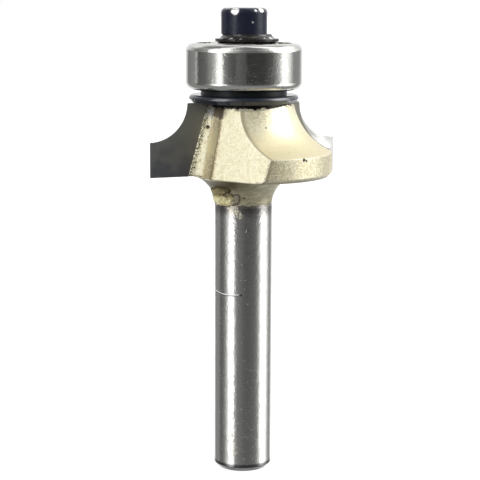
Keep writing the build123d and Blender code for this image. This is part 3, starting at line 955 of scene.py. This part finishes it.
def make_flux_run():
    shape = bmesh.new()
    bmesh.ops.create_grid(shape, x_segments=RUN_COLUMNS, y_segments=RUN_ROWS, size=0.5)
    rise = shape.verts.layers.float.new("rise")
    for corner in shape.verts:
        degrees = RUN_SIDES[0] + (corner.co.x + 0.5) * (RUN_SIDES[1] - RUN_SIDES[0])
        height = RUN_ENDS[0] + (corner.co.y + 0.5) * (RUN_ENDS[1] - RUN_ENDS[0])
        corner[rise] = mound_height(degrees, height)
        corner.co = neck_point(degrees, height, corner[rise])
    outside = [face for face in shape.faces if all(corner[rise] < 0 for corner in face.verts)]
    bmesh.ops.delete(shape, geom=outside, context="FACES")
    made = bmesh.ops.extrude_face_region(shape, geom=shape.faces[:])["geom"]
    for corner in (g for g in made if isinstance(g, bmesh.types.BMVert)):
        flat = Vector((corner.co.x, corner.co.y, 0)).normalized()
        corner.co -= flat * (max(corner[rise], 0) + RUN_BACK) * MM
    bmesh.ops.recalc_face_normals(shape, faces=shape.faces)
    return finish_piece("flux_run", shape)


bpy.context.view_layer.update()
flux_run = make_flux_run()

# %% [markdown]
# ## The finish of the flux
#
# The lumps are yellow where the lacquer is thick, olive higher up, and ashy at the right-hand end.
# The cracks between them are thin skin, so the attribute that holds the skin's height says where
# they are, and the dark colour follows the shape exactly.

# %% Flux material
YELLOW_DARK = (0.62, 0.53, 0.24, 1)
YELLOW_LIGHT = (0.98, 0.93, 0.60, 1)
OLIVE_DARK = (0.20, 0.165, 0.06, 1)
OLIVE_LIGHT = (0.44, 0.375, 0.19, 1)
ASH = (0.33, 0.29, 0.22, 1)
CRACK_BLACK = (0.07, 0.05, 0.012, 1)
OLIVE_FROM = (31.05, 31.45)
ASH_FROM = (-2.1, -1.7)


def flux_finish():
    material, tree, shader, place, (x, y, z), radius = new_finish("lacquered_flux")
    rise = add(tree, "ShaderNodeAttribute", attribute_name="rise").outputs["Fac"]
    lumps = grain(tree, place, 2.5, 3.0, 0.6)
    fine = grain(tree, place, 7.0, 2.0, 0.6)
    yellow = blend(tree, step(tree, lumps, 0.38, 0.62), YELLOW_DARK, YELLOW_LIGHT)
    olive = blend(tree, step(tree, lumps, 0.38, 0.62), OLIVE_DARK, OLIVE_LIGHT)
    high = step(tree, times_plus(tree, lumps, 0.7, z), *OLIVE_FROM)
    right = step(tree, times_plus(tree, lumps, 0.8, x), *ASH_FROM)
    crack = step(tree, times_plus(tree, fine, 0.05, rise), 0.20, 0.11)
    colour = coat(tree, blend(tree, high, yellow, olive), ASH, right)
    colour = coat(tree, colour, CRACK_BLACK, crack)
    rough = spread(tree, fine, 0.25, 0.45)
    normal = bump(tree, times_plus(tree, fine, 0.5, lumps), 0.05)
    fill(tree, shader, {"Base Color": colour, "Roughness": rough, "Normal": normal})
    return material


flux_run.data.materials.append(flux_finish())
print("flux run dressed")

# %% [markdown]
# ## The room
#
# Bright metal is mostly a picture of the room, so the room is drawn with care, as brightness by
# direction. Three rings of marks give the level all the way round: one at the horizon, one for the
# lower walls, and one for the two tall soft lights, at the left front and the right, with dark
# gaps between them. Above the lights is a dim ceiling, below the walls a grey ground, and straight
# down it is dark. Behind the tool stands a white backdrop: the camera sees it, and so do clear
# things, and metal mirrors it from the directions where it stands.

# %% Room
HORIZON = [
    (-180, 0.40), (-140, 0.26), (-112, 0.36), (-107, 0.75), (-102, 0.13), (-80, 0.18), (-66, 0.40),
    (-58, 0.75), (-50, 1.9), (-44, 1.6), (-39, 0.28), (-28, 0.15), (-18, 0.10), (-14, 0.17),
    (3, 0.12), (7, 0.05), (40, 0.06), (56, 0.12), (66, 0.30), (76, 0.85), (83, 1.9), (95, 1.6),
    (108, 0.7), (114, 0.34), (150, 0.38), (180, 0.40),
]
LOWER_WALLS = [
    (-180, 0.50), (-140, 0.28), (-114, 0.36), (-104, 0.16), (-88, 0.18), (-78, 0.33), (-68, 0.80),
    (-59, 1.9), (-49, 2.9), (-40, 2.4), (-34, 0.62), (-24, 0.26), (-12, 0.22), (0, 0.16),
    (16, 0.13), (34, 0.15), (50, 0.20), (60, 0.34), (69, 0.80), (77, 2.2), (90, 2.9), (104, 1.9),
    (118, 0.75), (128, 0.34), (150, 0.40), (180, 0.50),
]
SOFTBOXES = [
    (-180, 1.2), (-140, 1.2), (-110, 0.35), (-80, 0.6), (-74, 1.4), (-66, 4.0), (-42, 4.6),
    (-34, 2.0), (-24, 1.0), (-10, 0.5), (6, 0.25), (28, 0.25), (48, 0.6), (60, 1.2), (68, 3.0),
    (76, 5.6), (106, 5.6), (118, 2.0), (150, 1.1), (180, 1.2),
]
# Each pair is the upward part of a direction where one part of the room ends and the next is full.
LOWER_WALLS_FROM = (-0.08, -0.13)
SOFTBOXES_FROM = (0.04, 0.12)
SOFTBOX_FADE = (0.36, 0.54)
CEILING_FROM = (0.62, 0.76)
GROUND_FROM = (-0.30, -0.50)
UNDERFOOT_FROM = (-0.93, -0.98)
BOX_FOOT = 0.72
BOX_HEAD = 1.10
CEILING_SHARE = 0.32
CEILING_LEVEL = 0.16
GROUND_LEVEL = 0.36
UNDERFOOT_LEVEL = 0.10
BACKDROP_FROM = 140.0
BACKDROP_FULL = 158.0


def round_the_room(tree, fraction, marks):
    """Brightness round the walls, from marks of (degrees to the right of the camera, level)."""
    peak = max(level for degrees, level in marks)
    node = add(tree, "ShaderNodeValToRGB", {0: fraction})
    elements = node.color_ramp.elements
    for degrees, level in marks[1:-1]:
        elements.new((degrees + 180) / 360)
    for element, (degrees, level) in zip(elements, marks):
        element.color = grey(level / peak)
    return times(tree, node.outputs[0], peak)


def room_level(tree, turn, z):
    """How bright the room is in one direction."""
    fraction = times_plus(tree, turn, 0.5 / math.pi, 0.5)
    horizon, lower, boxes = (
        round_the_room(tree, fraction, marks) for marks in (HORIZON, LOWER_WALLS, SOFTBOXES)
    )
    tall = times(tree, boxes, mix(tree, step(tree, z, *SOFTBOX_FADE), BOX_FOOT, BOX_HEAD))
    ceiling = times_plus(tree, boxes, CEILING_SHARE, CEILING_LEVEL)
    room = mix(tree, step(tree, z, *LOWER_WALLS_FROM), horizon, lower)
    room = mix(tree, step(tree, z, *SOFTBOXES_FROM), room, tall)
    room = mix(tree, step(tree, z, *CEILING_FROM), room, ceiling)
    room = mix(tree, step(tree, z, *GROUND_FROM), room, GROUND_LEVEL)
    return mix(tree, step(tree, z, *UNDERFOOT_FROM), room, UNDERFOOT_LEVEL)


def light_room():
    world = bpy.data.worlds.new("room")
    bpy.context.scene.world = world
    world.use_nodes = True
    tree = world.node_tree
    tree.nodes.clear()
    way = add(tree, "ShaderNodeTexCoord").outputs["Generated"]
    x, y, z = add(tree, "ShaderNodeSeparateXYZ", {0: way}).outputs
    bearing = calc(tree, "ARCTAN2", x, times(tree, y, -1.0))
    from_camera = calc(tree, "SUBTRACT", bearing, CAMERA_TURN)
    turn = calc(tree, "WRAP", from_camera, math.pi, -math.pi)
    backdrop = (math.radians(BACKDROP_FROM), math.radians(BACKDROP_FULL))
    behind = step(tree, calc(tree, "ABSOLUTE", turn), *backdrop)
    path = add(tree, "ShaderNodeLightPath").outputs
    mirrored = times(tree, path["Is Glossy Ray"], behind)
    plain = any_of(tree, path["Is Camera Ray"], path["Is Transmission Ray"], mirrored)
    strength = mix(tree, plain, room_level(tree, turn, z), 1.0)
    inputs = {"Color": grey(1.0), "Strength": strength}
    background = add(tree, "ShaderNodeBackground", inputs)
    add(tree, "ShaderNodeOutputWorld", {0: background.outputs[0]})


light_room()
scene = bpy.context.scene
scene.view_settings.view_transform = "Standard"
print("room lit, with", len(HORIZON) + len(LOWER_WALLS) + len(SOFTBOXES), "marks round its walls")

# %% [markdown]
# ## The floor
#
# The floor should look white and still hold the tool's shadow. It is a matt grey sheet that takes
# light and shadow as it is, and for the camera alone a plain glow is added on top, which lifts it
# to white. The steel mirrors the room and not the floor.

# %% Floor
FLOOR_SIZE = 3.0
FLOOR_GREY = 0.3
FLOOR_GLOW = 0.86


def make_floor():
    mesh = bpy.data.meshes.new("floor")
    shape = bmesh.new()
    bmesh.ops.create_grid(shape, x_segments=1, y_segments=1, size=FLOOR_SIZE)
    shape.to_mesh(mesh)
    shape.free()
    floor = bpy.data.objects.new("floor", mesh)
    bpy.context.collection.objects.link(floor)
    material = bpy.data.materials.new("pale_floor")
    material.use_nodes = True
    tree = material.node_tree
    tree.nodes.clear()
    seen = add(tree, "ShaderNodeLightPath").outputs["Is Camera Ray"]
    matt = add(tree, "ShaderNodeBsdfDiffuse", {"Color": grey(FLOOR_GREY)}).outputs[0]
    inputs = {"Color": grey(1.0), "Strength": FLOOR_GLOW}
    glow = add(tree, "ShaderNodeEmission", inputs).outputs[0]
    both = add(tree, "ShaderNodeAddShader", {0: matt, 1: glow}).outputs[0]
    pick = add(tree, "ShaderNodeMixShader", {0: seen, 1: matt, 2: both}).outputs[0]
    add(tree, "ShaderNodeOutputMaterial", {0: pick})
    mesh.materials.append(material)
    floor.visible_glossy = False


make_floor()
print("floor laid,", 2 * FLOOR_SIZE, "metres across")

# %% [markdown]
# ## The camera
#
# The tool is small and the camera close, so its nearness shows as perspective: the head is seen
# from a little above and the shank's end from higher still. The camera is set on the axis at its
# distance and height, tilted, and turned round the axis to its place. The lens is given by its
# focal length in pixels of the render.

# %% Camera
CAMERA_DISTANCE = 161.0 * MM
CAMERA_HEIGHT = 52.75 * MM
CAMERA_TILT = math.radians(9.52)
CAMERA_ROLL = math.radians(0.21)
FILM_WIDTH = 36.0
FOCAL_PIXELS = 1474.0
IMAGE_PIXELS = 480
AXIS_PIXEL = 243.3


def place_camera():
    data = bpy.data.cameras.new("camera")
    camera = bpy.data.objects.new("camera", data)
    scene.collection.objects.link(camera)
    data.sensor_width = FILM_WIDTH
    data.lens = FOCAL_PIXELS / IMAGE_PIXELS * FILM_WIDTH
    data.clip_start, data.clip_end = 0.01, 20.0
    aside = math.atan((AXIS_PIXEL - IMAGE_PIXELS / 2) / FOCAL_PIXELS)
    turn = Matrix.Rotation(CAMERA_TURN, 4, "Z")
    place = turn @ Matrix.Translation((0, -CAMERA_DISTANCE, CAMERA_HEIGHT))
    look = Matrix.Rotation(aside, 4, "Z") @ Matrix.Rotation(math.pi / 2 - CAMERA_TILT, 4, "X")
    camera.matrix_world = place @ look @ Matrix.Rotation(CAMERA_ROLL, 4, "Z")
    scene.camera = camera


place_camera()
print("camera placed", round(CAMERA_DISTANCE / MM), "mm from the axis")
